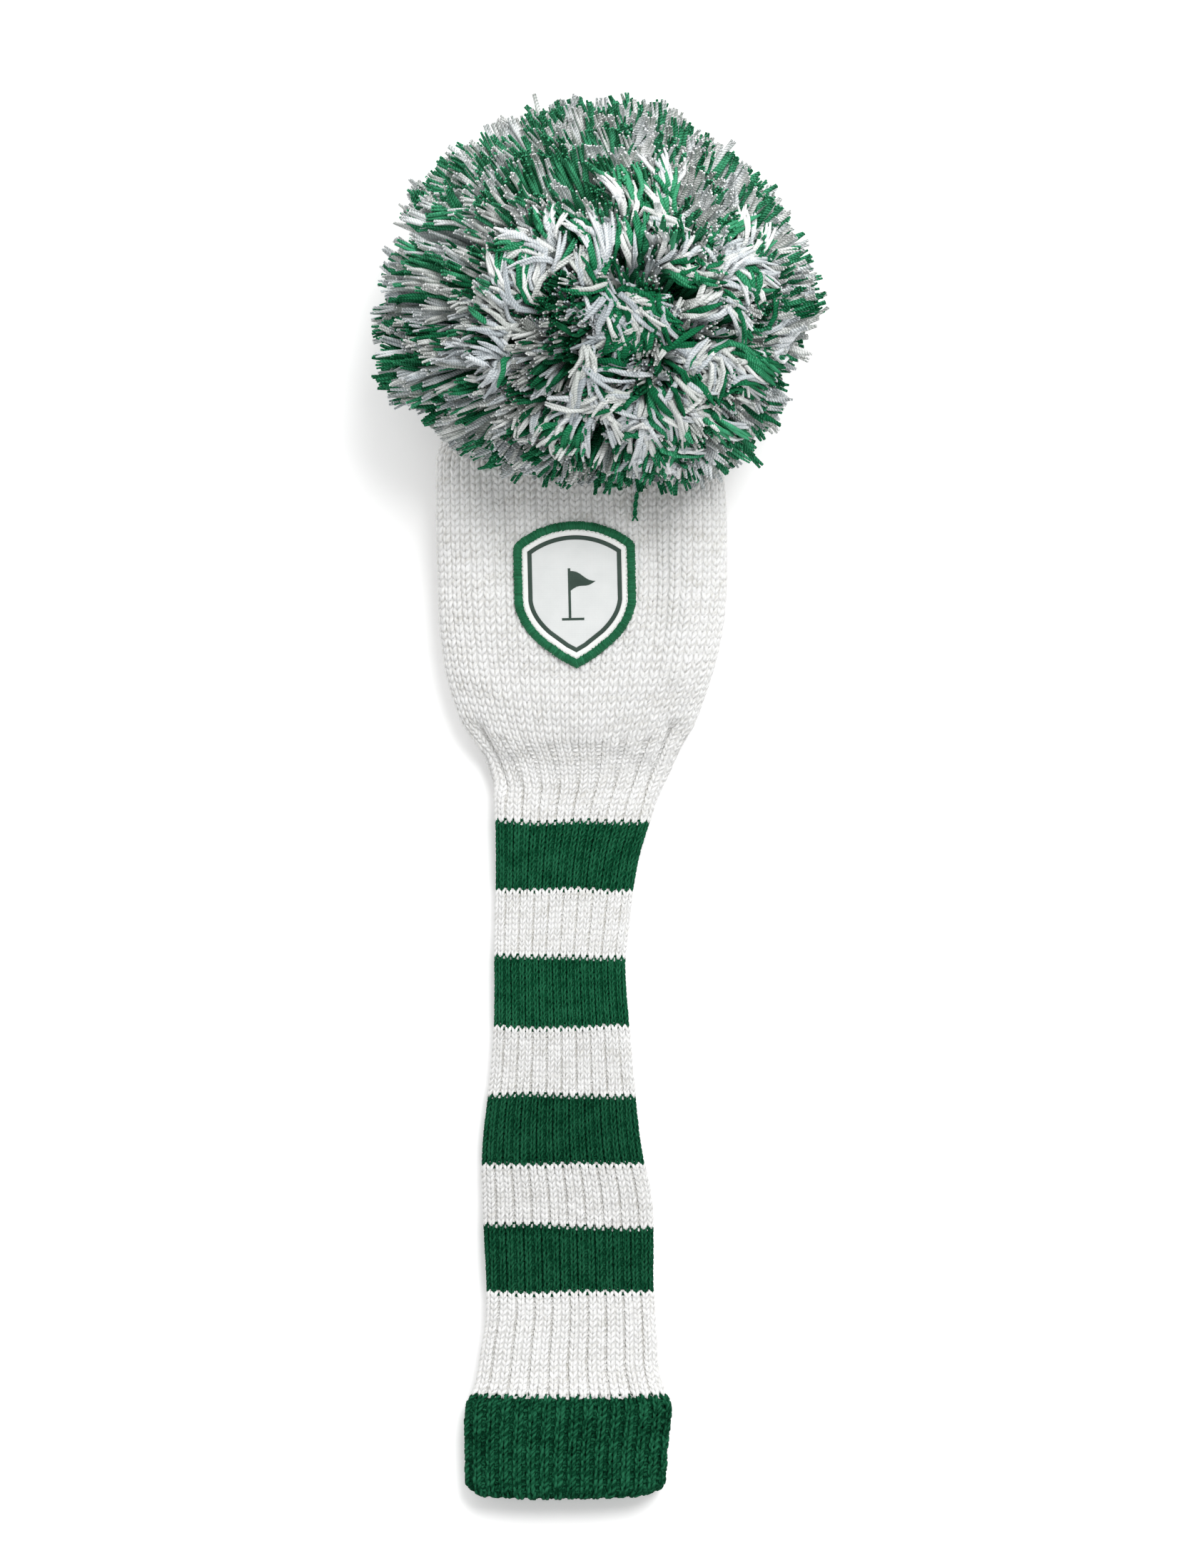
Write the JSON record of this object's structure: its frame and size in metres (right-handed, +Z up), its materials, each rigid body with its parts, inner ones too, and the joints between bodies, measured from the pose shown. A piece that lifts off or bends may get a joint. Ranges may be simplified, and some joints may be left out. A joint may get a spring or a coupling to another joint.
{
  "type": "golf driver head cover",
  "caption": "Knitted sock-style golf club head cover: padded head pocket with a shield badge, long striped ribbed neck, turned-up cuff and a yarn pom-pom on the crown.",
  "frame": {"origin": "centre of the bounding box, on the plane the cover rests on when it lies on its back", "axes": "+Y up the neck from the cuff towards the pom-pom, +Z up out of the front face that carries the badge, +X to the right when the badge is looked at with the pom-pom up"},
  "size_m": [0.147, 0.4732, 0.117],
  "materials": {
    "knit_white": "matt, slightly fuzzy acrylic yarn, knitted",
    "knit_green": "matt, slightly fuzzy acrylic yarn, knitted",
    "pom_yarn_mixed": "loose cut yarn in dark green, cool grey and off-white",
    "cord_green": "twisted yarn cord",
    "thread_white": "twisted sewing thread",
    "fleece_white": "short-pile fleece",
    "patch_white": "satin weave with a soft sheen",
    "patch_dark": "embroidery thread",
    "patch_green": "embroidery thread, wrapped over the badge's edge",
    "label_white": "satin ribbon, blank"
  },
  "bodies": {
    "head": {"head_shell": "knit_white", "head_lining": "fleece_white", "lining_seam_stitching": "thread_white", "crown_gather_yarn": "thread_white", "crown_inner_knot": "cord_green", "patch_backing": "patch_white", "patch_face": "patch_white", "patch_border": "patch_green", "patch_tack_stitching": "patch_green", "patch_pinstripe": "patch_dark", "patch_flag_motif": "patch_dark"},
    "neck_rib": {"neck_rib_white": "knit_white"},
    "neck_1": {"neck_stripe_green_1": "knit_green", "neck_band_white_1": "knit_white"},
    "neck_2": {"neck_stripe_green_2": "knit_green", "neck_band_white_2": "knit_white"},
    "neck_3": {"neck_stripe_green_3": "knit_green", "neck_band_white_3": "knit_white"},
    "neck_4": {"neck_stripe_green_4": "knit_green", "neck_band_white_4": "knit_white"},
    "cuff": {"cuff_outer": "knit_green", "cuff_turned_hem": "knit_green", "cuff_hem_stitching": "cord_green", "care_label": "label_white"},
    "pom_tie": {"pom_tie_knot": "cord_green"},
    "pom": {"pom_yarn": "pom_yarn_mixed", "pom_anchor_cord": "cord_green", "pom_binding_cord": "cord_green"}
  },
  "joints": [
    {"name": "neck_sway", "type": "hinge", "parent": "head", "child": "neck_rib", "pos_m": [-0.0076, 0.02375, 0.0113], "axis": [0, 0, 1], "range_deg": [-12, 12], "stiffness_Nm_per_rad": 0.02},
    {"name": "neck_bend_1", "type": "hinge", "parent": "neck_rib", "child": "neck_1", "pos_m": [-0.0118, -0.01335, 0.0075], "axis": [1, 0, 0], "range_deg": [-25, 25], "stiffness_Nm_per_rad": 0.01},
    {"name": "neck_bend_2", "type": "hinge", "parent": "neck_1", "child": "neck_2", "pos_m": [-0.0132, -0.05965, 0.0075], "axis": [1, 0, 0], "range_deg": [-25, 25], "stiffness_Nm_per_rad": 0.01},
    {"name": "neck_twist", "type": "hinge", "parent": "neck_2", "child": "neck_3", "pos_m": [-0.01285, -0.10015, 0.0075], "axis": [0, 1, 0], "range_deg": [-25, 25], "stiffness_Nm_per_rad": 0.01},
    {"name": "neck_bend_3", "type": "hinge", "parent": "neck_3", "child": "neck_4", "pos_m": [-0.0118, -0.15045, 0.0075], "axis": [1, 0, 0], "range_deg": [-25, 25], "stiffness_Nm_per_rad": 0.01},
    {"name": "neck_stretch", "type": "slide", "parent": "neck_4", "child": "cuff", "axis": [0, -1, 0], "range_m": [0, 0.012], "stiffness_N_per_m": 40},
    {"name": "pom_nod", "type": "hinge", "parent": "head", "child": "pom_tie", "pos_m": [-0.0048, 0.15545, 0.034], "axis": [1, 0, 0], "range_deg": [-13, 15], "stiffness_Nm_per_rad": 0.01},
    {"name": "pom_swing", "type": "hinge", "parent": "pom_tie", "child": "pom", "pos_m": [-0.0048, 0.15545, 0.034], "axis": [0, 0, 1], "range_deg": [-10, 10], "stiffness_Nm_per_rad": 0.01}
  ]
}
